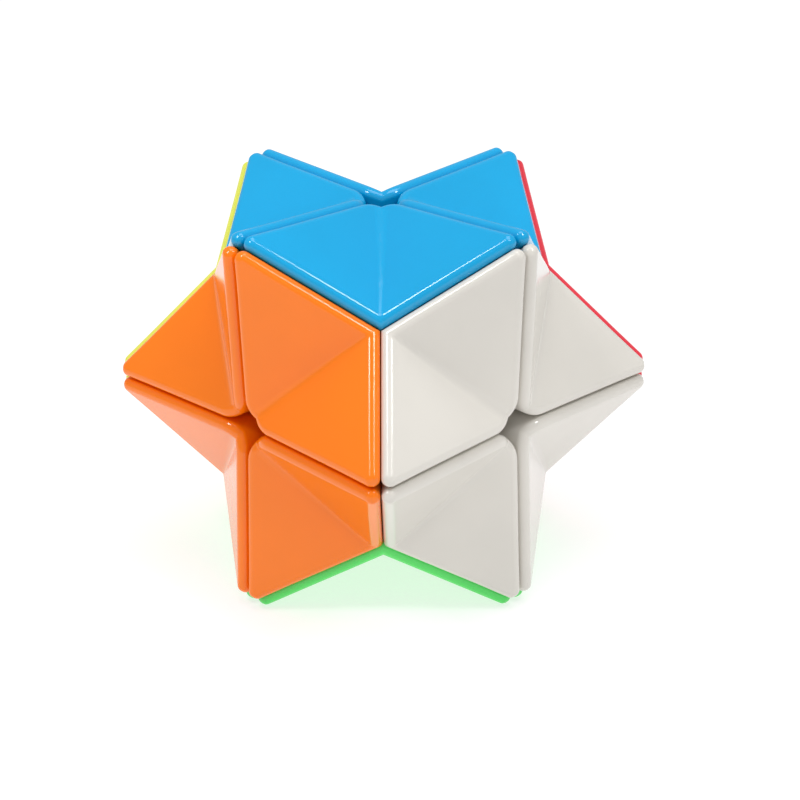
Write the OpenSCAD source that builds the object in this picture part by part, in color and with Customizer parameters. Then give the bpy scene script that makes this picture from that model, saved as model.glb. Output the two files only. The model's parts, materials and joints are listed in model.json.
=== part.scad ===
// Twelve-pointed 2x2x2 twisty puzzle.
// The body is a cube-like star: three square bipyramids grown through one another, with twelve
// points, eight dimples and six face centres. Three flat cuts through the centre divide it into
// eight corner pieces, and each corner piece wears three coloured tiles.
// Below the corners lies a ball mechanism. Every sliding surface in it is a sphere about the
// centre or a plane square to an axis, so each layer turns freely on its own axis.

/* [Star shape] */
// Distance along each of two axes from the centre to the sharp end of a point
star_half = 30; // [28:0.5:36]
// Height of the dimples, as a share of the distance above, along each of three axes
dimple_share = 0.59; // [0.52:0.005:0.7]
// How far each face centre lies below the points around it
centre_sink = 1.2; // [0:0.1:3]
// Radius of the rounded edges of a tile
edge_r = 1.4; // [0.6:0.1:2]
// Depth of the flat on the side of each point, which the puzzle stands on
tip_flat = 1.7; // [1.7:0.1:2.5]
// Length cut off the sharp end of each point
tip_nose = 2.6; // [2:0.1:4]
// Radius of the rounded tile corners that leave the hole at each face centre
hole_corner_r = 4.3; // [3.6:0.1:6]

/* [Tiles] */
// Thickness of the tile walls
tile_wall = 1.8; // [1.4:0.1:2.2]
// Gap between the three tiles of one corner piece
seam_gap = 0.1; // [0.06:0.02:0.3]
// Diameter of the peg inside each tile
peg_d = 3.2; // [2.4:0.1:4]
// Distance of the peg from the two cuts beside it
peg_inset = 8.6; // [7:0.1:10.5]

/* [Ball mechanism] */
// Gap between two layers along a cut
cut_gap = 0.3; // [0.2:0.05:0.5]
// Gap between pieces that slide on a sphere
slide_gap = 0.3; // [0.2:0.05:0.5]
// Clearance around pieces that are fixed to one another
fit_gap = 0.1; // [0.05:0.01:0.2]
// Radius of the sphere under the tiles
outer_track_r = 19; // [17.5:0.1:20]
// Radius of the sphere under the edges and centres
inner_track_r = 14.5; // [13:0.1:17]
// Radius of the hollow around the core
core_track_r = 8.8; // [7.6:0.1:10.5]
// Half the width of the middle slices between the two tracks
slice_half = 6.5; // [5.5:0.1:7.8]
// Half the width of the middle slices below the inner track
hook_half = 3.6; // [3.3:0.1:4.3]

/* [Screws and springs] */
// Diameter of the screw shanks
screw_d = 2.2; // [1.8:0.1:2.6]
// Diameter of the screw heads
head_d = 4.4; // [3.8:0.1:4.8]
// Thickness of the screw heads
head_h = 1.8; // [1.4:0.1:2.4]
// Depth of the screw heads below the outer track
head_sink = 1.2; // [0.8:0.1:2]
// Length of the screws in the core
screw_grip = 5; // [4:0.1:6]
// Thickness of the washers
washer_h = 0.4; // [0.3:0.1:0.8]
// Thickness of the plastic between the spring and the core
stem_base = 1.6; // [1.2:0.1:2.2]
// Height of the core's six posts above its ball
post_h = 1.4; // [1:0.1:2]
// Diameter of the core's posts
post_d = 5.8; // [5:0.1:6.2]
// Diameter of the spring wire
wire_d = 0.5; // [0.4:0.05:0.6]
// Number of turns in each spring
spring_turns = 4; // [3:1:6]

/* [Hidden] */
$fn = 96;
reach = 3 * star_half;
cut_side = cut_gap / 2;
slide_side = slide_gap / 2;
centre_half = star_half - centre_sink;
dimple_half = dimple_share * star_half;

// Corners of one facet in the octant where x, y and z are positive
tip_point = [star_half, star_half, 0];
face_point = [centre_half, 0, 0];
dimple_point = dimple_half * [1, 1, 1];

function unit(v) = v / norm(v);
function swap_yz(v) = [v.x, v.z, v.y];

// A tile has two mirror-image facets, whose shared valley runs from the face centre to the dimple
facet_n = unit(cross(tip_point - face_point, dimple_point - face_point));
facet_d = facet_n * tip_point;
cut_n = [0, 0, -1];
seam_n = unit([-1, 1, 0]);
seam_d = -seam_gap / 2;

// The bottom of the valley lies nearer the centre than its facets' planes would suggest; this ratio
// gives the nearest distance, on the inside of the wall, that limits what fits under a tile
valley_lean = norm([facet_n.x, (facet_n.y + facet_n.z) / sqrt(2)]);
inner_valley_r = (facet_d - tile_wall) / valley_lean;

// Rounding of the tile edges
// how much larger than a tangent arc the rounding is, so that it crosses both planes cleanly
arc_ease = 1.06;
// how far the material taken off reaches past the edge itself
shaving_reach = 1.2;

// Corner frame, under the tiles
tile_floor_r = outer_track_r + slide_side;
frame_r = inner_valley_r - fit_gap;
frame_side = cut_side + tile_wall + fit_gap;
// the pegs stand in the frame through all but this share of its thickness
peg_floor_share = 1 / 3;
peg_end_r = tile_floor_r + (frame_r - tile_floor_r) * peg_floor_share;
peg_end = sqrt(pow(peg_end_r, 2) - 2 * pow(peg_inset, 2));

// Core, centres, screws and springs, measured out along one axis
core_r = core_track_r - slide_side;
post_end = core_r + post_h;
stem_start = post_end + slide_gap;
pocket_floor = stem_start + stem_base;
head_top = outer_track_r - slide_side - head_sink;
head_bottom = head_top - head_h;
washer_bottom = head_bottom - washer_h;
screw_end = post_end - screw_grip;
pocket_d = head_d + 2 * fit_gap;
spring_r = pocket_d / 2 - 2 * fit_gap - wire_d / 2;
// flat sides of the wire, and straight steps in one turn of it
spring_sides = 6;
spring_steps = 14;
recess_w = head_d / 6;
recess_l = 0.7 * head_d;

SIGNS = [-1, 1];
AXES = [0, 1, 2];
FACE_COLOURS = [["yellow", "white"], ["orange", "red"], ["green", "blue"]];
FACE_LETTERS = [["l", "r"], ["f", "b"], ["d", "u"]];
PAINT = [["#e8e860", "#ebe8e2"], ["#ff8a2b", "#e8404f"], ["#5adc64", "#22aee8"]];
CORNERS = [for (z = SIGNS, y = SIGNS, x = SIGNS) [x, y, z]];
EDGES = [for (axis = AXES, b = SIGNS, a = SIGNS) [axis, a, b]];

function side(sign) = sign > 0 ? 1 : 0;
function corner_name(c) =
    str(FACE_LETTERS[2][side(c.z)], FACE_LETTERS[1][side(c.y)], FACE_LETTERS[0][side(c.x)]);
function tile_name(c, axis) = str(corner_name(c), "_", FACE_COLOURS[axis][side(c[axis])], "_tile");
function frame_name(c) = str(corner_name(c), "_corner_frame");
// An edge lies between the two faces whose axes are not its own
function edge_signs(e) = e[0] == 0 ? [0, e[1], e[2]] : e[0] == 1 ? [e[1], 0, e[2]] : [e[1], e[2], 0];
function edge_letters(e) =
    let (s = edge_signs(e))
    str(s.z == 0 ? "" : FACE_LETTERS[2][side(s.z)],
        s.y == 0 ? "" : FACE_LETTERS[1][side(s.y)],
        s.x == 0 ? "" : FACE_LETTERS[0][side(s.x)]);
function edge_name(e) = str(edge_letters(e), "_inner_edge");
function centre_name(axis, sign) = str(FACE_LETTERS[axis][side(sign)], "_inner_centre");

// ---------- Helpers ----------

// Everything further than d from the centre in the direction n
module above(n, d) {
    rotate([0, acos(unit(n).z), atan2(n.y, n.x)])
        translate([-reach, -reach, d])
            cube([2 * reach, 2 * reach, reach]);
}

// Turns the shape that points along X to point along another axis, in cyclic order
module to_axis(axis) {
    rotate(axis == 0 ? [0, 0, 0] : axis == 1 ? [90, 0, 90] : [0, -90, -90]) children();
}

module to_octant(c) {
    mirror([c.x < 0 ? 1 : 0, 0, 0])
        mirror([0, c.y < 0 ? 1 : 0, 0])
            mirror([0, 0, c.z < 0 ? 1 : 0])
                children();
}

// The box from low to high in all three axes
module octant_box(low) {
    translate(low) cube([reach, reach, reach] - low);
}

// Both halves of a shape that is the same on either side of the plane y = z
module both_halves() {
    children();
    multmatrix([[1, 0, 0, 0], [0, 0, 1, 0], [0, 1, 0, 0]]) children();
}

// ---------- Tiles ----------

// Outside of the two facets, drawn in by depth
module sky(depth) {
    intersection() {
        above(facet_n, facet_d - depth);
        above(swap_yz(facet_n), facet_d - depth);
    }
}

// What rounding takes off the straight edge through p, between the planes facing n1 and n2
module edge_shaving(p, n1, n2) {
    along_edge = unit(cross(n1, n2));
    inward = -unit(n1 + n2);
    sideways = cross(along_edge, inward);
    half_angle = acos(n1 * n2) / 2;
    wedge = 90 - half_angle;
    set_back = edge_r / tan(wedge);
    start = set_back * [cos(wedge), sin(wedge)];
    outside = start + shaving_reach * set_back / tan(wedge) * [-sin(wedge), cos(wedge)];
    arc_r = arc_ease * edge_r;
    arc_x = start.x + sqrt(pow(arc_r, 2) - pow(start.y, 2));
    multmatrix([
        [inward.x, sideways.x, along_edge.x, p.x],
        [inward.y, sideways.y, along_edge.y, p.y],
        [inward.z, sideways.z, along_edge.z, p.z]])
        translate([0, 0, -reach])
            linear_extrude(2 * reach)
                difference() {
                    polygon([start, outside, [outside.x, -outside.y], [start.x, -start.y]]);
                    translate([arc_x, 0]) circle(arc_r);
                }
}

// Square corner beside the X axis that is rounded away, leaving its share of the face's hole
module hole_corner(inset) {
    rotate([90, 0, 90])
        linear_extrude(reach)
            difference() {
                square(hole_corner_r);
                translate([hole_corner_r, hole_corner_r]) circle(hole_corner_r - inset);
            }
}

// Wedge between the two cuts and the two seams around a tile
module tile_wedge() {
    difference() {
        octant_box([0, cut_side, cut_side]);
        above(seam_n, seam_d);
        above(swap_yz(seam_n), seam_d);
    }
}

module tile_outside() {
    cut_edge = face_point + cut_side * [-facet_n.z / facet_n.x, 0, 1];
    seam_edge = tip_point + seam_d * [-1, 1, 0] / sqrt(2);
    difference() {
        tile_wedge();
        sky(0);
        sphere(tile_floor_r);
        hole_corner(cut_side);
        both_halves() {
            intersection() {
                union() {
                    edge_shaving(cut_edge, facet_n, cut_n);
                    edge_shaving(seam_edge, facet_n, seam_n);
                }
                above([0, 1, -1], 0);
            }
            above([1, 1, 0], norm(tip_point) - tip_nose);
        }
        above([1, 0, 0], star_half - tip_flat);
    }
}

// Room inside a tile: walls stand along the cuts, and along the seams as far down as the frame
module tile_hollow() {
    difference() {
        octant_box([0, cut_side + tile_wall, cut_side + tile_wall]);
        sky(tile_wall);
        hole_corner(cut_side + tile_wall);
        difference() {
            both_halves() above(seam_n, seam_d - tile_wall);
            sphere(frame_r + fit_gap);
        }
    }
}

module tile_peg() {
    translate([peg_end, peg_inset, peg_inset]) rotate([0, 90, 0]) cylinder(h = star_half, d = peg_d);
}

module tile() {
    difference() {
        tile_outside();
        difference() {
            tile_hollow();
            tile_peg();
        }
    }
}

// ---------- Corner frames ----------

// Part of the ball mechanism between two spheres
module track_shell(inner_r, outer_r) {
    difference() {
        sphere(outer_r);
        sphere(inner_r);
    }
}

module corner_frame() {
    neck_side = slice_half + slide_side;
    foot_side = hook_half + slide_side;
    difference() {
        union() {
            // block that the three tiles close over
            intersection() {
                octant_box(frame_side * [1, 1, 1]);
                track_shell(tile_floor_r, frame_r);
            }
            // neck through the middle slices
            intersection() {
                octant_box(neck_side * [1, 1, 1]);
                track_shell(core_track_r + slide_side, frame_r);
            }
            // foot hooked under the edges and centres
            intersection() {
                octant_box(foot_side * [1, 1, 1]);
                track_shell(core_track_r + slide_side, inner_track_r - slide_side);
            }
        }
        for (axis = AXES)
            to_axis(axis) {
                hole_corner(frame_side);
                translate([peg_end - fit_gap, peg_inset, peg_inset])
                    rotate([0, 90, 0])
                        cylinder(h = star_half, d = peg_d + 2 * fit_gap);
            }
    }
}

// ---------- Inner edges and centres ----------

// Edge of the slice across the X axis, between the +Y and +Z faces
module inner_edge() {
    cap_half = slice_half - slide_side;
    cap_low = slice_half + slide_side;
    foot_half = hook_half - slide_side;
    foot_low = hook_half + slide_side;
    intersection() {
        track_shell(core_track_r + slide_side, outer_track_r - slide_side);
        union() {
            difference() {
                translate([-cap_half, cap_low, cap_low]) cube([2 * cap_half, reach, reach]);
                sphere(inner_track_r + slide_side);
            }
            translate([-foot_half, cap_low, cap_low]) cube([2 * foot_half, reach, reach]);
            intersection() {
                translate([-foot_half, foot_low, foot_low]) cube([2 * foot_half, reach, reach]);
                sphere(inner_track_r - slide_side);
            }
        }
    }
}

// Centre on the +X axis
module inner_centre() {
    cap_half = slice_half - slide_side;
    stem_half = hook_half - slide_side;
    difference() {
        intersection() {
            sphere(outer_track_r - slide_side);
            union() {
                difference() {
                    translate([0, -cap_half, -cap_half]) cube([reach, 2 * cap_half, 2 * cap_half]);
                    sphere(inner_track_r + slide_side);
                }
                translate([stem_start, -stem_half, -stem_half])
                    cube([reach, 2 * stem_half, 2 * stem_half]);
            }
        }
        rotate([0, 90, 0]) cylinder(h = reach, d = screw_d + 2 * fit_gap);
        translate([pocket_floor, 0, 0]) rotate([0, 90, 0]) cylinder(h = reach, d = pocket_d);
    }
}

// ---------- Core, screws and springs ----------

module on_six_axes() {
    for (axis = AXES)
        to_axis(axis) {
            children();
            mirror([1, 0, 0]) children();
        }
}

module core() {
    difference() {
        union() {
            sphere(core_r);
            on_six_axes() rotate([0, 90, 0]) cylinder(h = post_end, d = post_d);
        }
        on_six_axes()
            translate([screw_end - fit_gap, 0, 0])
                rotate([0, 90, 0])
                    cylinder(h = reach, d = screw_d + fit_gap);
    }
}

module tension_screw() {
    difference() {
        rotate([0, 90, 0]) {
            translate([0, 0, screw_end]) cylinder(h = head_bottom - screw_end, d = screw_d);
            translate([0, 0, head_bottom]) cylinder(h = head_h, d = head_d);
        }
        // cross recess
        for (turn = [0, 90])
            translate([head_top, 0, 0])
                rotate([turn, 0, 0])
                    cube([head_h, recess_l, recess_w], center = true);
    }
}

module screw_washer() {
    translate([washer_bottom, 0, 0])
        rotate([0, 90, 0])
            difference() {
                cylinder(h = washer_h, d = head_d);
                translate([0, 0, -washer_h]) cylinder(h = 3 * washer_h, d = screw_d + 2 * fit_gap);
            }
}

// Round wire wound about the X axis, between the stem's floor and the washer
module tension_spring() {
    sides = spring_sides;
    steps = spring_steps;
    low = pocket_floor + wire_d / 2 + fit_gap / 2;
    rise = washer_bottom - wire_d / 2 - fit_gap / 2 - low;
    rings = spring_turns * steps;
    points = [for (i = [0:rings])
        let (a = 360 * i / steps, x = low + rise * i / rings)
        for (j = [0:sides - 1])
            let (b = 360 * j / sides, r = spring_r + wire_d / 2 * cos(b))
            [x + wire_d / 2 * sin(b), r * cos(a), r * sin(a)]];
    walls = [for (i = [0:rings - 1], j = [0:sides - 1])
        let (k = (j + 1) % sides, n = sides)
        [i * n + j, (i + 1) * n + j, (i + 1) * n + k, i * n + k]];
    ends = [[for (j = [0:sides - 1]) j], [for (j = [sides - 1:-1:0]) rings * sides + j]];
    polyhedron(points, concat(walls, ends), convexity = 6);
}

// ---------- Assembly ----------

for (c = CORNERS) {
    for (axis = AXES)
        color(PAINT[axis][side(c[axis])]) to_octant(c) to_axis(axis) tile();
    color("#2b2d30") to_octant(c) corner_frame();
}
for (e = EDGES)
    color("#3a3d42") to_octant(edge_signs(e)) to_axis(e[0]) inner_edge();
for (axis = AXES, sign = SIGNS)
    color("#55585e") to_axis(axis) mirror([sign < 0 ? 1 : 0, 0, 0]) inner_centre();
color("#d9dadc") core();
color("#b9bcc0") on_six_axes() tension_screw();  // tension_screws
color("#c9ccd0") on_six_axes() screw_washer();  // screw_washers
color("#9fa3a8") on_six_axes() tension_spring();  // tension_springs
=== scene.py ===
"""Twelve-pointed 2x2x2 twisty puzzle: coloured tiles, satin mechanism, camera and soft studio light."""
import json
import math

import bmesh
import bpy
from mathutils import Matrix, Vector


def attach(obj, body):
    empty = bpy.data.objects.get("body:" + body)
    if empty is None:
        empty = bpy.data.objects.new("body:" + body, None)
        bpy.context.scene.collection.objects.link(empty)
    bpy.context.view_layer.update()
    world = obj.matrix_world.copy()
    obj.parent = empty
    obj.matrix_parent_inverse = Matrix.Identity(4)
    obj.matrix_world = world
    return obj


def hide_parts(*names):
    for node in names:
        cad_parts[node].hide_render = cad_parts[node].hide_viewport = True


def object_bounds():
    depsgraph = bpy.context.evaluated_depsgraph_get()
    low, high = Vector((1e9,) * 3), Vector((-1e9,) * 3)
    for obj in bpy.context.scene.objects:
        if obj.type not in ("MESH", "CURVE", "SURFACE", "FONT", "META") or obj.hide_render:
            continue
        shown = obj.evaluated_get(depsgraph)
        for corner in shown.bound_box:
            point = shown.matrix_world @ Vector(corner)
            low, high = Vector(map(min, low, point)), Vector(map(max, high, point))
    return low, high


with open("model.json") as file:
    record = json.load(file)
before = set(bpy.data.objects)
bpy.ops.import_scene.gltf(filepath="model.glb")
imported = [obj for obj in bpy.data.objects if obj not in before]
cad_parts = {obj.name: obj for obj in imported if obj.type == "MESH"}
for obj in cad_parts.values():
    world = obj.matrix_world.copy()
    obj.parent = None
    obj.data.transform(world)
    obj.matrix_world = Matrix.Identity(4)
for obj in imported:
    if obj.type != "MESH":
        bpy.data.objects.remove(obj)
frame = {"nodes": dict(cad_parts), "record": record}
cad_low, cad_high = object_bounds()

MM = 0.001

# ---------- Sizes of a tile, in millimetres ----------

TIP_FLAT = 1.7
STAR_HALF = cad_high[0] / MM + TIP_FLAT
DIMPLE_HALF = 17.7
CENTRE_SINK = 1.2
TIP_NOSE = 3.5
HOLE_CORNER_R = 4.9
TILE_WALL = 1.8
TIP_PLUG = 5.6
CUT_SIDE = 0.15
SEAM_SIDE = 0.05
TRACK_R = 19.15
FRAME_R = 24.35

# The peg that sits in the corner frame: its line, half its width, and its two ends
PEG_INSET = 8.6
PEG_R = 1.6
PEG_LOW = 16.9
PEG_HIGH = 21.6

# Rounding: along the edges, at the points, and where the edges go in under the frame
EDGE_R = 1.15
NOSE_R = 1.1
INNER_R = 0.3
TAPER_LENGTH = 5.0
MITRE_SOFT = 0.5
VALLEY_SOFT_STEPS = 7

# Corners nearer the valley's plane than this are shared by both halves
SAME_PLACE = 0.0005

# Steps across a rounded edge, around a quarter of a hole, and along a tile's lower edge
ARC_STEPS = 8
RIM_STEPS = 14
FLOOR_STEPS = 10
PEG_SIDES = 32

# Halvings in the search for the place where the rim meets the valley
RIM_HALVINGS = 40

# Corners of one facet, which runs from the face centre to a point and to the dimple
TIP = Vector((STAR_HALF, STAR_HALF, 0))
FACE = Vector((STAR_HALF - CENTRE_SINK, 0, 0))
DIMPLE = Vector((DIMPLE_HALF, DIMPLE_HALF, DIMPLE_HALF))

# The planes around one half of a tile
FACET_N = (TIP - FACE).cross(DIMPLE - FACE).normalized()
FACET_D = FACET_N.dot(TIP)
SEAM_N = Vector((-1, 1, 0)).normalized()
CUT_N = Vector((0, 0, -1))
NOSE_N = Vector((1, 1, 0)).normalized()
VALLEY_N = Vector((0, 1, -1)).normalized()
FACET = (FACET_N, FACET_D)
SEAM = (SEAM_N, -SEAM_SIDE)
CUT = (CUT_N, -CUT_SIDE)
NOSE = (NOSE_N, NOSE_N.dot(TIP) - TIP_NOSE)


# ---------- Points on a tile ----------


def swap_yz(p):
    return Vector((p.x, p.z, p.y))


def meeting_point(planes):
    """Where three planes meet. Each is (normal, distance)."""
    rows = Matrix([n for n, _ in planes])
    return rows.inverted() @ Vector([d for _, d in planes])


def ball_centre(planes, radius):
    """Centre of a ball that touches three planes from inside."""
    return meeting_point([(n, d - radius) for n, d in planes])


def on_facet(y, z, depth):
    """The point of the facet's plane, drawn in by depth, over a place on the cuts."""
    return Vector(((FACET_D - depth - FACET_N.y * y - FACET_N.z * z) / FACET_N.x, y, z))


def turned(n1, n2, share):
    """The direction that lies this share of the way from n1 to n2."""
    return Vector(n1).slerp(Vector(n2), share) if share < 1 else Vector(n2)


def seam_point(radius, side, z):
    """A point of the plane beside a seam, at a distance from the centre and a height over the cut."""
    ahead = math.sqrt(radius**2 - side**2 - z**2)
    return NOSE_N * ahead - SEAM_N * side + Vector((0, 0, z))


def under_dimple(radius, side):
    """Where both planes beside the seams meet a sphere."""
    shift = side * math.sqrt(2)
    y = (-shift + math.sqrt(3 * radius**2 - 2 * shift**2)) / 3
    return Vector((y + shift, y, y))


def seam_floor(side, first_z):
    """Lower edge of a seam wall, from above the cut to under the dimple."""
    last = under_dimple(FRAME_R, side)
    steps = [first_z + (last.z - first_z) * i / FLOOR_STEPS for i in range(FLOOR_STEPS)]
    return [seam_point(FRAME_R, side, z) for z in steps] + [last]


def cut_floor(side, seam_side):
    """Lower edge of a cut wall, from the seam to the hole."""
    r = math.sqrt(TRACK_R**2 - side**2)
    first = math.pi / 4 - math.asin(seam_side / r)
    last = math.asin(HOLE_CORNER_R / r)
    turns = [first + (last - first) * i / FLOOR_STEPS for i in range(FLOOR_STEPS + 1)]
    return [Vector((r * math.cos(a), r * math.sin(a), side)) for a in turns]


def hole_wall_n(a):
    """The direction across the tile, at an angle round the line through the face centre."""
    return Vector((0, math.cos(a), math.sin(a)))


def hole_foot(side):
    """Lower edge of the hole's wall, from the cut to the valley."""
    out = []
    for i in range(1, RIM_STEPS + 1):
        p = Vector((0, HOLE_CORNER_R, HOLE_CORNER_R)) + hole_wall_n(rim_angle(i)) * (HOLE_CORNER_R - side)
        out.append(Vector((math.sqrt(TRACK_R**2 - p.y**2 - p.z**2), p.y, p.z)))
    return out


def rim_angle(step):
    return math.radians(-90 - 45 * step / RIM_STEPS)


# ---------- Tile mesh ----------


class Skin:
    """Faces of a tile. Corners are shared, each half is mirrored, and some corners carry a normal."""

    def __init__(self):
        self.bm = bmesh.new()
        self.verts = {}
        self.normals = {}
        self.mirrored = False

    def vert(self, p):
        if self.mirrored:
            p = swap_yz(p)
        if abs(p.y - p.z) < SAME_PLACE:
            p = Vector((p.x, (p.y + p.z) / 2, (p.y + p.z) / 2))
        key = tuple(round(c, 4) for c in p)
        if key not in self.verts:
            self.verts[key] = self.bm.verts.new(p)
        return self.verts[key]

    def face(self, points, normals=None):
        """A face seen with its points going round to the left. Normals make it smooth."""
        corners = [self.vert(p) for p in points]
        if normals is None:
            normals = [None] * len(points)
        pairs = []
        for i, v in enumerate(corners):
            if v is not corners[i - 1]:
                pairs.append((v, normals[i]))
        if len(pairs) < 3:
            return
        if self.mirrored:
            pairs.reverse()
        made = self.bm.faces.new([v for v, _ in pairs])
        made.smooth = True
        for loop, (_, n) in zip(made.loops, pairs):
            if n is not None:
                self.normals[made, loop.vert] = swap_yz(n) if self.mirrored else n

    def strip(self, low, high):
        """Quads between two rows of (point, normal)."""
        for a, b, c, d in zip(low, low[1:], high[1:], high):
            self.face([a[0], b[0], c[0], d[0]], [a[1], b[1], c[1], d[1]])


def arc(centre, radius, n1, n2):
    """(point, normal) across a rounded edge, from the surface facing n1 to the one facing n2."""
    turns = [turned(n1, n2, i / ARC_STEPS) for i in range(ARC_STEPS + 1)]
    return [(centre + radius * n, n) for n in turns]


def soft_on_valley(n):
    """A normal halfway between a surface's and its mirror image's."""
    return (n - VALLEY_N * n.dot(VALLEY_N)).normalized()


def slid_to_valley(row, direction, short=0.0):
    """A row moved along a direction until it meets the valley's plane, or stops short of it."""
    out = []
    for p, n in row:
        length = -p.dot(VALLEY_N) / direction.dot(VALLEY_N)
        out.append((p + direction * (length - short), n if short else soft_on_valley(n)))
    return out


def rim_point(a, share):
    """(point, normal) on the rounded rim of the hole."""
    wall_n = hole_wall_n(a)
    c = Vector((0, HOLE_CORNER_R, HOLE_CORNER_R)) + wall_n * (HOLE_CORNER_R - CUT_SIDE - EDGE_R)
    n = turned(FACET_N, wall_n, share)
    return on_facet(c.y, c.z, EDGE_R) + EDGE_R * n, n


def rim_end(share):
    """The angle at which one line along the rim meets the valley's plane."""
    near, far = rim_angle(0), rim_angle(RIM_STEPS)
    if share == 1:
        return far
    for _ in range(RIM_HALVINGS):
        middle = (near + far) / 2
        if rim_point(middle, share)[0].dot(VALLEY_N) > 0:
            near = middle
        else:
            far = middle
    return far


def rim_rows():
    """Rows across the rim, from the cut to the valley, where every row ends on the valley's plane."""
    columns = []
    for j in range(ARC_STEPS + 1):
        share = j / ARC_STEPS
        start, far = rim_angle(0), rim_end(share)
        column = [rim_point(start + (far - start) * i / RIM_STEPS, share) for i in range(RIM_STEPS + 1)]
        p, n = column[-1]
        column[-1] = (p - VALLEY_N * p.dot(VALLEY_N), soft_on_valley(n))
        columns.append(column)
    return [list(row) for row in zip(*columns)]


def patch(skin, centre, radius, n1, n2, n3):
    """The rounded corner between three surfaces."""
    rows = []
    for i in range(ARC_STEPS + 1):
        a = turned(n1, n3, i / ARC_STEPS)
        b = turned(n2, n3, i / ARC_STEPS)
        steps = ARC_STEPS - i
        row = [turned(a, b, j / steps) if steps else a for j in range(steps + 1)]
        rows.append([(centre + radius * n, n) for n in row])
    for low, high in zip(rows, rows[1:]):
        for j in range(len(high)):
            corners = [low[j], low[j + 1], high[j]]
            skin.face([p for p, _ in corners], [n for _, n in corners])
            if j + 1 < len(high):
                corners = [low[j + 1], high[j + 1], high[j]]
                skin.face([p for p, _ in corners], [n for _, n in corners])


def nose_corners(skin, seam_nose, cut_nose, low_nose):
    """The blunt end of a point: its face, three rounded edges and three rounded corners."""
    facet_edge = [arc(c, NOSE_R, FACET_N, NOSE_N) for c in (seam_nose, cut_nose)]
    skin.strip(facet_edge[1], facet_edge[0])
    seam_edge = [arc(c, NOSE_R, NOSE_N, SEAM_N) for c in (seam_nose, low_nose)]
    skin.strip(seam_edge[0], seam_edge[1])
    cut_edge = [arc(c, NOSE_R, NOSE_N, CUT_N) for c in (cut_nose, low_nose)]
    skin.strip(cut_edge[1], cut_edge[0])
    patch(skin, seam_nose, NOSE_R, FACET_N, NOSE_N, SEAM_N)
    patch(skin, cut_nose, NOSE_R, NOSE_N, FACET_N, CUT_N)
    patch(skin, low_nose, NOSE_R, NOSE_N, CUT_N, SEAM_N)
    nose_face = [facet_edge[0][-1][0], seam_edge[1][0][0], facet_edge[1][-1][0]]
    skin.face(nose_face, [NOSE_N] * 3)
    return seam_edge[1][-1][0], cut_edge[1][-1][0]


def seam_rows_of(seam_nose, seam_taper):
    """Rows across the edge beside the seam, from the valley to the point."""
    along_seam = (DIMPLE - TIP).normalized()
    at_taper = arc(seam_taper, EDGE_R, FACET_N, SEAM_N)
    return [
        slid_to_valley(at_taper, along_seam),
        slid_to_valley(at_taper, along_seam, MITRE_SOFT),
        at_taper,
        arc(seam_nose, NOSE_R, FACET_N, SEAM_N),
    ]


def outer_half(skin):
    """The outside of one half of a tile. Gives its lower edge, from under the dimple to the valley."""
    seam_nose = ball_centre([FACET, SEAM, NOSE], NOSE_R)
    cut_nose = ball_centre([FACET, CUT, NOSE], NOSE_R)
    low_nose = ball_centre([NOSE, SEAM, CUT], NOSE_R)
    back = (NOSE_N, NOSE[1] - TAPER_LENGTH + EDGE_R)
    seam_taper = ball_centre([FACET, SEAM, back], EDGE_R)
    cut_taper = ball_centre([FACET, CUT, back], EDGE_R)

    seam_rows = seam_rows_of(seam_nose, seam_taper)
    cut_rows = [arc(cut_nose, NOSE_R, FACET_N, CUT_N), arc(cut_taper, EDGE_R, FACET_N, CUT_N)]
    cut_rows += rim_rows()
    for rows in (seam_rows, cut_rows):
        for low, high in zip(rows, rows[1:]):
            skin.strip(high, low)
    seam_low, cut_low = nose_corners(skin, seam_nose, cut_nose, low_nose)

    first_z = CUT_SIDE + INNER_R
    inner_end = seam_point(FRAME_R, SEAM_SIDE, first_z) + SEAM_N * -INNER_R
    end_arc = arc(inner_end, INNER_R, SEAM_N, CUT_N)
    skin.strip(arc(low_nose, NOSE_R, SEAM_N, CUT_N), end_arc)

    facet_face(skin, [row[0][0] for row in seam_rows + cut_rows])
    floor = seam_floor(SEAM_SIDE, first_z)
    seam_wall = [row[-1][0] for row in seam_rows] + [seam_low] + floor
    skin.face(seam_wall[::-1], [SEAM_N] * len(seam_wall))
    lower = cut_floor(CUT_SIDE, SEAM_SIDE)
    cut_wall = [row[-1][0] for row in cut_rows[:3]] + lower[::-1] + [end_arc[-1][0], cut_low]
    skin.face(cut_wall[::-1], [CUT_N] * len(cut_wall))

    foot = [lower[-1]] + hole_foot(CUT_SIDE)
    wall_top = [(row[-1][0], row[-1][1]) for row in cut_rows[2:]]
    wall_foot = [(p, n) for p, (_, n) in zip(foot, wall_top)]
    skin.strip(wall_foot, wall_top)
    return floor, [p for p, _ in end_arc], lower + foot[1:]


def facet_face(skin, edge):
    """The flat of a facet, and the strip beside the valley that turns towards its mirror image."""
    k = VALLEY_SOFT_STEPS
    flat = edge[1:len(edge) - k]
    skin.face(flat, [FACET_N] * len(flat))
    valley_n = soft_on_valley(FACET_N)
    near_hole = edge[-1 - k:]
    strip = [edge[0], edge[1]] + near_hole
    normals = [valley_n, FACET_N] + [turned(FACET_N, valley_n, i / k) for i in range(k + 1)]
    skin.face(strip, normals)


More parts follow.
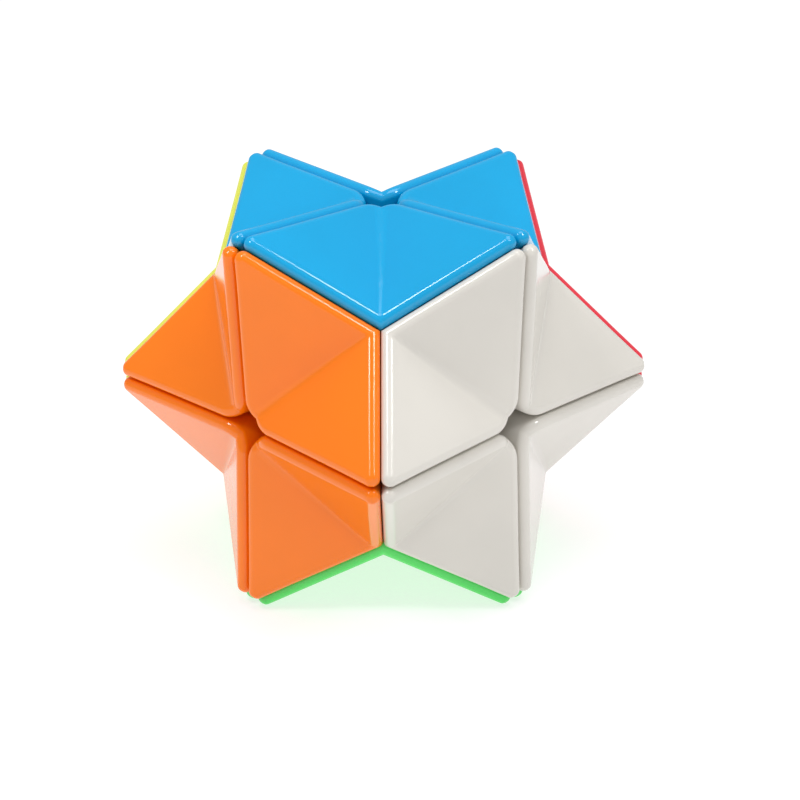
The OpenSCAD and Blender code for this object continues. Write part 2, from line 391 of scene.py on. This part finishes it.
def inner_half(skin):
    """The inside of one half of a tile, with square corners and a plugged point."""
    cut = CUT_SIDE + TILE_WALL
    seam = SEAM_SIDE + TILE_WALL
    facet = (FACET_N, FACET_D - TILE_WALL)
    seam_plane = (SEAM_N, -seam)
    cut_plane = (CUT_N, -cut)
    nose = (NOSE_N, NOSE[1] - TIP_PLUG)
    dimple = meeting_point([facet, seam_plane, (VALLEY_N, 0)])
    seam_tip = meeting_point([facet, seam_plane, nose])
    cut_tip = meeting_point([facet, cut_plane, nose])
    low_tip = meeting_point([cut_plane, seam_plane, nose])
    floor = seam_floor(seam, cut)
    lower = cut_floor(cut, seam)
    foot = [lower[-1]] + hole_foot(cut)
    rim = [on_facet(p.y, p.z, TILE_WALL) for p in foot]
    skin.face([dimple, seam_tip, cut_tip] + rim)
    skin.face([dimple] + floor[::-1] + [low_tip, seam_tip])
    skin.face([seam_tip, low_tip, cut_tip])
    skin.face([cut_tip, low_tip, floor[0]] + lower + [rim[0]])
    for i in range(RIM_STEPS):
        skin.face([rim[i], rim[i + 1], foot[i + 1], foot[i]])
    return floor, lower + foot[1:]


def add_peg(skin):
    """The peg on the inside of a tile, with square ends. Its far end stands in the tile's wall."""
    around = [hole_wall_n(math.tau * i / PEG_SIDES) for i in range(PEG_SIDES)]
    low, high = [
        [Vector((x, PEG_INSET, PEG_INSET)) + PEG_R * n for n in around]
        for x in (PEG_LOW, PEG_HIGH)]
    closed = around + around[:1]
    skin.strip(list(zip(low + low[:1], closed)), list(zip(high + high[:1], closed)))
    skin.face(low[::-1])
    skin.face(high)


def tile_mesh():
    """A closed hollow tile, with its peg, on the +X side of the octant where x, y and z are positive."""
    skin = Skin()
    for mirrored in (False, True):
        skin.mirrored = mirrored
        floor, corner, rest = outer_half(skin)
        inner_floor, inner_rest = inner_half(skin)
        for i in range(FLOOR_STEPS):
            skin.face([floor[i], floor[i + 1], inner_floor[i + 1], inner_floor[i]])
        for i in range(ARC_STEPS):
            skin.face([corner[i], corner[i + 1], inner_floor[0]])
        skin.face([corner[-1], rest[0], inner_rest[0], inner_floor[0]])
        for i in range(len(rest) - 1):
            skin.face([rest[i], rest[i + 1], inner_rest[i + 1], inner_rest[i]])
    skin.mirrored = False
    add_peg(skin)
    bm = skin.bm
    bmesh.ops.recalc_face_normals(bm, faces=bm.faces)
    custom = []
    for face in bm.faces:
        for loop in face.loops:
            custom.append(skin.normals.get((face, loop.vert), face.normal).copy())
    mesh = bpy.data.meshes.new("tile")
    bm.to_mesh(mesh)
    bm.free()
    mesh.normals_split_custom_set(custom)
    return mesh


def tile_turn(axis, corner):
    """The rotation that takes the tile to one axis of one corner piece."""
    first, second = [a for a in range(3) if a != axis]
    turn = Matrix.Identity(3)
    for swap in (False, True):
        turn.zero()
        turn[axis][0] = corner[axis]
        turn[second if swap else first][1] = corner[second if swap else first]
        turn[first if swap else second][2] = corner[first if swap else second]
        if turn.determinant() > 0:
            return turn.to_4x4()


# ---------- Materials ----------

# Plastic: how close together the flow marks, the haze and the scratches lie, and how strong they are
FLOW_SCALE = 55
HAZE_SCALE = 120
SCRATCH_SCALE = 900
SCRATCH_DETAIL = 5.0
SCRATCH_STRETCH = (1, 0.12, 0.5)
SCRATCH_FROM = 0.62
SCRATCH_TO = 0.78
SCUFF = 0.12
PLASTIC_IOR = 1.5

# Grain of plastic, in metres of depth: glossy tiles, and the satin pieces inside
GLOSS_GRAIN = 2600
GLOSS_GRAIN_DEPTH = 0.000002
SATIN_GRAIN = 1500
SATIN_GRAIN_DEPTH = 0.000008
GRAIN_DETAIL = 2.0
GRAIN_STRENGTH = 0.25

# Steel: duller patches and turning marks
PATCH_SCALE = 700
PATCH_TONE = 0.86
MARK_SCALE = 4200
MARK_DETAIL = 4.0
MARK_STRETCH = (1, 0.3, 1)
MARK_STRENGTH = 0.3
MARK_DEPTH = 0.000003


def new_material(name):
    mat = bpy.data.materials.new(name)
    mat.use_nodes = True
    nodes = mat.node_tree.nodes
    nodes.clear()
    out = nodes.new("ShaderNodeOutputMaterial")
    shader = nodes.new("ShaderNodeBsdfPrincipled")
    mat.node_tree.links.new(shader.outputs["BSDF"], out.inputs["Surface"])
    return mat, shader


def noise(mat, scale, detail=3.0, stretch=(1, 1, 1)):
    """A noise in the object's own coordinates."""
    nodes, links = mat.node_tree.nodes, mat.node_tree.links
    place = nodes.new("ShaderNodeTexCoord")
    mapping = nodes.new("ShaderNodeMapping")
    mapping.inputs["Scale"].default_value = stretch
    texture = nodes.new("ShaderNodeTexNoise")
    texture.inputs["Scale"].default_value = scale
    texture.inputs["Detail"].default_value = detail
    links.new(place.outputs["Object"], mapping.inputs["Vector"])
    links.new(mapping.outputs["Vector"], texture.inputs["Vector"])
    return texture.outputs["Fac"]


def ranged(mat, value, low, high, from_low=0.3, from_high=0.7):
    """A noise's value spread over a range. Most of a noise lies between 0.3 and 0.7."""
    node = mat.node_tree.nodes.new("ShaderNodeMapRange")
    node.inputs["From Min"].default_value = from_low
    node.inputs["From Max"].default_value = from_high
    node.inputs["To Min"].default_value = low
    node.inputs["To Max"].default_value = high
    mat.node_tree.links.new(value, node.inputs["Value"])
    return node.outputs["Result"]


def mixed(mat, factor, a, b):
    """A colour between a and b."""
    node = mat.node_tree.nodes.new("ShaderNodeMix")
    node.data_type = "RGBA"
    node.inputs[6].default_value = (*a, 1)
    node.inputs[7].default_value = (*b, 1)
    mat.node_tree.links.new(factor, node.inputs[0])
    return node.outputs[2]


def joined(mat, kind, a, b):
    node = mat.node_tree.nodes.new("ShaderNodeMath")
    node.operation = kind
    mat.node_tree.links.new(a, node.inputs[0])
    mat.node_tree.links.new(b, node.inputs[1])
    return node.outputs[0]


def bumped(mat, shader, height, strength, distance):
    node = mat.node_tree.nodes.new("ShaderNodeBump")
    node.inputs["Strength"].default_value = strength
    node.inputs["Distance"].default_value = distance
    mat.node_tree.links.new(height, node.inputs["Height"])
    mat.node_tree.links.new(node.outputs["Normal"], shader.inputs["Normal"])


def toned(colour, share):
    return tuple(c * share for c in colour)


def plastic(name, colour, rough, tone=0.05, grain=GLOSS_GRAIN, grain_depth=GLOSS_GRAIN_DEPTH):
    """Plastic moulded in colour, with faint flow marks, a fine grain and light scuffs."""
    mat, shader = new_material(name)
    flow = noise(mat, FLOW_SCALE)
    colour_out = mixed(mat, ranged(mat, flow, 0, 1), toned(colour, 1 - tone), toned(colour, 1 + tone / 2))
    mat.node_tree.links.new(colour_out, shader.inputs["Base Color"])
    haze = ranged(mat, noise(mat, HAZE_SCALE), rough * 0.8, rough * 1.3)
    scratches = noise(mat, SCRATCH_SCALE, SCRATCH_DETAIL, SCRATCH_STRETCH)
    wear = ranged(mat, scratches, 0, SCUFF, SCRATCH_FROM, SCRATCH_TO)
    total = joined(mat, "ADD", haze, wear)
    mat.node_tree.links.new(total, shader.inputs["Roughness"])
    shader.inputs["IOR"].default_value = PLASTIC_IOR
    bumped(mat, shader, noise(mat, grain, GRAIN_DETAIL), GRAIN_STRENGTH, grain_depth)
    return mat


def satin_plastic(name, colour, rough, tone=0.2):
    """The coarser plastic of the pieces inside."""
    return plastic(name, colour, rough, tone, SATIN_GRAIN, SATIN_GRAIN_DEPTH)


def steel(name, colour, rough):
    """Plated steel with turning marks and duller patches."""
    mat, shader = new_material(name)
    patches = ranged(mat, noise(mat, PATCH_SCALE), 0, 1)
    colour_out = mixed(mat, patches, toned(colour, PATCH_TONE), colour)
    mat.node_tree.links.new(colour_out, shader.inputs["Base Color"])
    shader.inputs["Metallic"].default_value = 1.0
    marks = noise(mat, MARK_SCALE, MARK_DETAIL, MARK_STRETCH)
    mat.node_tree.links.new(ranged(mat, marks, rough * 0.7, rough * 1.5), shader.inputs["Roughness"])
    bumped(mat, shader, marks, MARK_STRENGTH, MARK_DEPTH)
    return mat


TILE_COLOURS = {
    "blue": (0.002, 0.375, 0.720),
    "orange": (1.000, 0.212, 0.003),
    "white": (0.735, 0.705, 0.650),
    "green": (0.100, 0.790, 0.140),
    "red": (0.790, 0.035, 0.060),
    "yellow": (0.820, 0.830, 0.110),
}
TILE_ROUGH = 0.12
TILE_MATERIALS = {c: plastic(c + "_plastic", rgb, TILE_ROUGH) for c, rgb in TILE_COLOURS.items()}

# The CAD pieces inside, by the ending of their names
INNER_MATERIALS = {
    "corner_frame": satin_plastic("frame_plastic", (0.030, 0.030, 0.034), 0.34),
    "inner_edge": satin_plastic("edge_plastic", (0.045, 0.048, 0.055), 0.38),
    "inner_centre": satin_plastic("centre_plastic", (0.090, 0.098, 0.108), 0.36),
    "core": satin_plastic("core_plastic", (0.70, 0.70, 0.71), 0.33, 0.08),
    "tension_screws": steel("screw_steel", (0.60, 0.60, 0.62), 0.24),
    "screw_washers": steel("washer_steel", (0.66, 0.66, 0.67), 0.30),
    "tension_springs": steel("spring_steel", (0.48, 0.48, 0.50), 0.22),
}

# ---------- Tiles on their bodies ----------

LETTERS = {"l": (0, -1), "r": (0, 1), "f": (1, -1), "b": (1, 1), "d": (2, -1), "u": (2, 1)}
COLOUR_AXIS = {"yellow": 0, "white": 0, "orange": 1, "red": 1, "green": 2, "blue": 2}


def corner_signs(letters):
    signs = [0, 0, 0]
    for letter in letters:
        axis, sign = LETTERS[letter]
        signs[axis] = sign
    return signs


def add_tile(pattern, node, body):
    letters, colour, _ = node.split("_")
    mesh = pattern.copy()
    mesh.name = letters + "_" + colour + "_shell"
    size = Matrix.Scale(MM, 4)
    mesh.transform(size @ tile_turn(COLOUR_AXIS[colour], corner_signs(letters)))
    tile = bpy.data.objects.new(mesh.name, mesh)
    bpy.context.scene.collection.objects.link(tile)
    mesh.materials.append(TILE_MATERIALS[colour])
    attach(tile, body)
    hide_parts(node)


def dress_node(node):
    """Gives a CAD piece whose shape is right its own material."""
    for ending, mat in INNER_MATERIALS.items():
        if node.endswith(ending):
            for place in frame["nodes"][node].material_slots:
                place.material = mat


def build_puzzle():
    pattern = tile_mesh()
    for body, nodes in frame["record"]["behaviour"]["bodies"].items():
        for node in nodes:
            if node.endswith("_tile"):
                add_tile(pattern, node, body)
            else:
                dress_node(node)


build_puzzle()
puzzle_low, puzzle_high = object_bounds()

# ---------- Studio ----------

FLOOR_HALF = 6.0
FLOOR_GLOW = 0.68
FLOOR_ROUGH = 0.9
FLOOR_SHINE = 0.1
PAPER_SCALE = 3
PAPER_DARK = (0.40, 0.40, 0.40)
PAPER_LIGHT = (0.43, 0.43, 0.43)
ROOM_LIGHT = 0.44
ROOM_SEEN = 1.1

# Softboxes: place and size in metres, and power in watts
SOFTBOXES = {
    "overhead_softbox": ((0.05, 0.05, 0.75), (0.5, 0.5), 2.2),
    "left_softbox": ((-0.10, -0.41, 0.61), (0.15, 0.15), 1.5),
    "right_softbox": ((0.41, 0.10, 0.61), (0.15, 0.15), 1.3),
}

# Camera: angles round the puzzle, over its middle cut and about the lens, then distance and lens
CAMERA_TURN = math.radians(45.8)
CAMERA_RISE = math.radians(24.0)
CAMERA_ROLL = math.radians(-0.68)
CAMERA_DISTANCE = 0.3045
CAMERA_LENS = 91.3
CAMERA_SENSOR = 36
CAMERA_NEAREST = 0.01
CAMERA_SHIFT = (0.0207, -0.0357)


def floor_paper():
    """Pale paper that glows a little, so that it stays white under the puzzle."""
    mat, shader = new_material("floor_paper")
    shade = ranged(mat, noise(mat, PAPER_SCALE), 0, 1)
    paper = mixed(mat, shade, PAPER_DARK, PAPER_LIGHT)
    mat.node_tree.links.new(paper, shader.inputs["Base Color"])
    shader.inputs["Roughness"].default_value = FLOOR_ROUGH
    shader.inputs["Specular IOR Level"].default_value = FLOOR_SHINE
    shader.inputs["Emission Color"].default_value = (1, 1, 1, 1)
    shader.inputs["Emission Strength"].default_value = FLOOR_GLOW
    return mat


def add_floor():
    """The floor, at the height of the puzzle's lowest points."""
    bm = bmesh.new()
    bmesh.ops.create_grid(bm, x_segments=1, y_segments=1, size=FLOOR_HALF)
    bmesh.ops.translate(bm, verts=bm.verts, vec=(0, 0, puzzle_low[2]))
    mesh = bpy.data.meshes.new("floor")
    bm.to_mesh(mesh)
    bm.free()
    mesh.materials.append(floor_paper())
    floor = bpy.data.objects.new("floor", mesh)
    bpy.context.scene.collection.objects.link(floor)


def add_softbox(name, place, size, power):
    """A rectangular light that faces the puzzle."""
    light = bpy.data.lights.new(name, "AREA")
    light.shape = "RECTANGLE"
    light.size, light.size_y = size
    light.energy = power
    box = bpy.data.objects.new(name, light)
    box.location = place
    box.rotation_euler = (-box.location).to_track_quat("-Z", "Y").to_euler()
    bpy.context.scene.collection.objects.link(box)


def add_camera():
    """The camera, aimed at the centre and then shifted, so that the puzzle stands where it should."""
    back = Vector((
        math.sin(CAMERA_TURN) * math.cos(CAMERA_RISE),
        -math.cos(CAMERA_TURN) * math.cos(CAMERA_RISE),
        math.sin(CAMERA_RISE)))
    data = bpy.data.cameras.new("camera")
    data.lens = CAMERA_LENS
    data.sensor_width = CAMERA_SENSOR
    data.shift_x, data.shift_y = CAMERA_SHIFT
    data.clip_start = CAMERA_NEAREST
    camera = bpy.data.objects.new("camera", data)
    camera.location = back * CAMERA_DISTANCE
    facing = (-back).to_track_quat("-Z", "Y").to_matrix()
    camera.rotation_euler = (facing @ Matrix.Rotation(CAMERA_ROLL, 3, "Z")).to_euler()
    bpy.context.scene.collection.objects.link(camera)
    bpy.context.scene.camera = camera


def add_surroundings():
    """A white room: pure white behind the puzzle, a little dimmer as light."""
    world = bpy.data.worlds.new("room")
    world.use_nodes = True
    nodes, links = world.node_tree.nodes, world.node_tree.links
    nodes.clear()
    out = nodes.new("ShaderNodeOutputWorld")
    seen = nodes.new("ShaderNodeBackground")
    seen.inputs["Strength"].default_value = ROOM_SEEN
    lit = nodes.new("ShaderNodeBackground")
    lit.inputs["Strength"].default_value = ROOM_LIGHT
    for shade in (seen, lit):
        shade.inputs["Color"].default_value = (1, 1, 1, 1)
    path = nodes.new("ShaderNodeLightPath")
    mix = nodes.new("ShaderNodeMixShader")
    links.new(path.outputs["Is Camera Ray"], mix.inputs["Fac"])
    links.new(lit.outputs["Background"], mix.inputs[1])
    links.new(seen.outputs["Background"], mix.inputs[2])
    links.new(mix.outputs["Shader"], out.inputs["Surface"])
    bpy.context.scene.world = world


add_floor()
for softbox, (place, size, power) in SOFTBOXES.items():
    add_softbox(softbox, place, size, power)
add_camera()
add_surroundings()
scene = bpy.context.scene
scene.view_settings.view_transform = "Standard"
scene.view_settings.look = "None"
